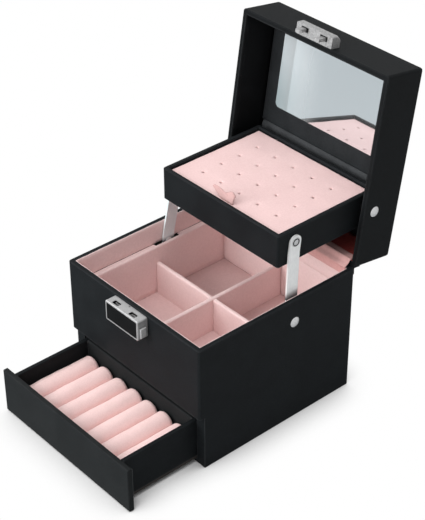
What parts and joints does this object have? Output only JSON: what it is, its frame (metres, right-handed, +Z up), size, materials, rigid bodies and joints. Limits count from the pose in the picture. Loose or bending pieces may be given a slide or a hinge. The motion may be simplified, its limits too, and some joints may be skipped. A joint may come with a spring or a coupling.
{
  "type": "train case for jewellery and make-up",
  "caption": "Leatherette train case whose mirrored lid raises a lift tray on side links, over divided velvet compartments, with a ring drawer below and a push lock in front.",
  "frame": {"origin": "centre of the underside of the base, on the table, midway between the case's sides and between its front panel and rear wall", "axes": "+X to the case's right as seen from the front, -Y towards the front and the drawer, +Z up"},
  "size_m": [0.1682, 0.3063, 0.296],
  "materials": {
    "felt": "dense felt",
    "fibreboard": "raw board, hidden by its wrap",
    "leatherette": "fine-grain matt leatherette",
    "velvet": "short-pile velvet",
    "dark_lining": "smooth dark lining paper",
    "mirror_glass": "silvered glass",
    "satin_steel": "satin",
    "satin_nickel": "satin nickel plate on a die casting",
    "black_enamel": "semi-matt enamel",
    "black_plastic": "matt"
  },
  "bodies": {
    "case": {"base_felt": "felt", "base_board": "fibreboard", "left_board": "fibreboard", "right_board": "fibreboard", "back_board": "fibreboard", "front_board": "fibreboard", "left_liner_board": "fibreboard", "right_liner_board": "fibreboard", "deck_board": "fibreboard", "body_cover": "leatherette", "wall_lining": "velvet", "left_ledge_lining": "velvet", "right_ledge_lining": "velvet", "floor_lining": "velvet", "long_divider": "velvet", "left_divider": "velvet", "right_divider": "velvet", "link_base_rivets": "satin_steel", "lock_housing": "satin_nickel", "lock_face_plate": "black_enamel", "lock_springs": "satin_steel", "hinge_body_leaves": "satin_steel", "hinge_pins": "satin_steel", "hinge_lining": "velvet"},
    "lid": {"lid_top_board": "fibreboard", "lid_front_board": "fibreboard", "lid_back_board": "fibreboard", "lid_left_board": "fibreboard", "lid_right_board": "fibreboard", "lid_cover": "leatherette", "lid_lining": "dark_lining", "lid_back_lining": "velvet", "mirror_board": "dark_lining", "mirror": "mirror_glass", "hasp": "satin_nickel", "tray_pivot_rivets": "satin_steel", "tray_spacers": "black_plastic", "hinge_lid_leaves": "satin_steel"},
    "tray": {"tray_box": "leatherette", "tray_lining": "velvet", "panel_rests": "fibreboard"},
    "earring_panel": {"earring_panel": "velvet", "pull_tab": "velvet"},
    "left_link": {"left_link": "satin_steel", "left_link_rivet": "satin_steel"},
    "right_link": {"right_link": "satin_steel", "right_link_rivet": "satin_steel"},
    "drawer": {"drawer_front": "leatherette", "drawer_left_side": "leatherette", "drawer_right_side": "leatherette", "drawer_back": "leatherette", "drawer_divider": "leatherette", "drawer_bottom": "leatherette", "drawer_lining": "velvet", "roll_pad": "velvet", "ring_rolls": "velvet"},
    "left_button": {"left_button": "satin_nickel"},
    "right_button": {"right_button": "satin_nickel"}
  },
  "joints": [
    {"name": "lid_hinge", "type": "hinge", "parent": "case", "child": "lid", "pos_m": [0, 0.084, 0.12], "axis": [-1, 0, 0], "range_deg": [-98.6, 0], "deforming": ["hinge_lining"]},
    {"name": "tray_lift", "type": "hinge", "parent": "lid", "child": "tray", "pos_m": [0, 0.10329, 0.16664], "axis": [-1, 0, 0], "range_deg": [0, 98.6]},
    {"name": "left_link_swing", "type": "hinge", "parent": "case", "child": "left_link", "pos_m": [-0.07595, 0.01702, 0.0986], "axis": [-1, 0, 0], "range_deg": [-67.9, 0]},
    {"name": "right_link_swing", "type": "hinge", "parent": "case", "child": "right_link", "pos_m": [0.07595, 0.01702, 0.0986], "axis": [-1, 0, 0], "range_deg": [-67.9, 0]},
    {"name": "drawer_slide", "type": "slide", "parent": "case", "child": "drawer", "axis": [0, -1, 0], "range_m": [-0.0726, 0.012]},
    {"name": "panel_lift", "type": "slide", "parent": "tray", "child": "earring_panel", "axis": [0, 0, 1], "range_m": [0, 0.008], "deforming": ["pull_tab"]},
    {"name": "left_button_press", "type": "slide", "parent": "case", "child": "left_button", "axis": [1, 0, 0], "range_m": [0, 0.002], "stiffness_N_per_m": 600, "deforming": ["lock_springs"]},
    {"name": "right_button_press", "type": "slide", "parent": "case", "child": "right_button", "axis": [-1, 0, 0], "range_m": [0, 0.002], "stiffness_N_per_m": 600, "deforming": ["lock_springs"]}
  ],
  "couplings": [
    {"joint": "tray_lift", "follows": "lid_hinge", "ratio": -1},
    {"joint": "left_link_swing", "follows": "lid_hinge", "ratio": 0.68809},
    {"joint": "right_link_swing", "follows": "lid_hinge", "ratio": 0.68809}
  ]
}
